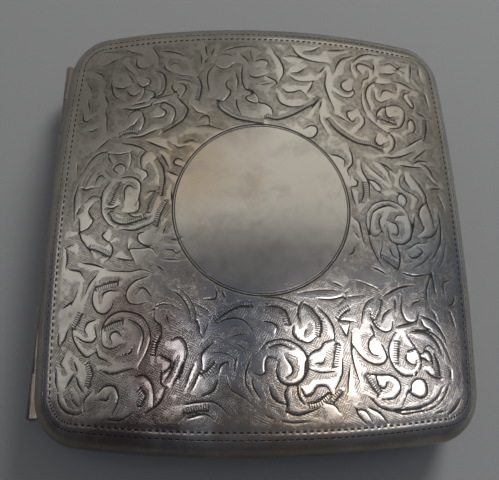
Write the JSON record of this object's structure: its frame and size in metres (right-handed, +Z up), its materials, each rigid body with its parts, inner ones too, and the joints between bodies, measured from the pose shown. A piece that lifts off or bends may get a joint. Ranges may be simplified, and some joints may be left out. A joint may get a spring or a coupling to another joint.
{
  "type": "cigarette case",
  "caption": "Pocket cigarette case of engraved silver: two bent shells on a full-length knuckle hinge, with a thumb piece catch and an elastic strap inside.",
  "frame": {"origin": "on the surface that the closed case lies on, under the middle of the case", "axes": "+Z up out of the engraved lid, +Y up the case along the hinge, +X from the hinge side to the catch side"},
  "size_m": [0.083, 0.082, 0.016],
  "materials": {
    "silver": "worn polished silver with a warm tarnish in the engraving",
    "silver_gilt": "soft gilding",
    "spring_metal": "drawn, slightly dull",
    "elastic": "ribbed woven elastic"
  },
  "bodies": {
    "base": {"base_shell": "silver", "base_bezel": "silver_gilt", "base_joint_strip": "silver", "base_knuckle_1": "silver", "base_knuckle_2": "silver", "base_knuckle_3": "silver", "base_knuckle_4": "silver", "base_knuckle_5": "silver", "hinge_pin": "spring_metal", "pin_cap_upper": "silver", "pin_cap_lower": "silver", "spring_foot": "silver_gilt", "base_strap": "elastic", "strap_clip_left": "silver_gilt", "strap_clip_right": "silver_gilt"},
    "lid": {"lid_shell": "silver", "lid_bezel": "silver_gilt", "lid_joint_strip": "silver", "lid_knuckle_1": "silver", "lid_knuckle_2": "silver", "lid_knuckle_3": "silver", "lid_knuckle_4": "silver", "lid_catch": "silver_gilt"},
    "catch": {"catch_spring": "spring_metal", "push_piece": "silver", "catch_nib": "spring_metal"}
  },
  "joints": [
    {"name": "lid_hinge", "type": "hinge", "parent": "base", "child": "lid", "pos_m": [-0.04055, 0, 0.00468], "axis": [0, -1, 0], "range_deg": [0, 150]},
    {"name": "catch_press", "type": "hinge", "parent": "base", "child": "catch", "pos_m": [0.03941, 0.00827, 0.004], "axis": [0, 0, 1], "range_deg": [0, 2], "stiffness_Nm_per_rad": 0.5}
  ]
}
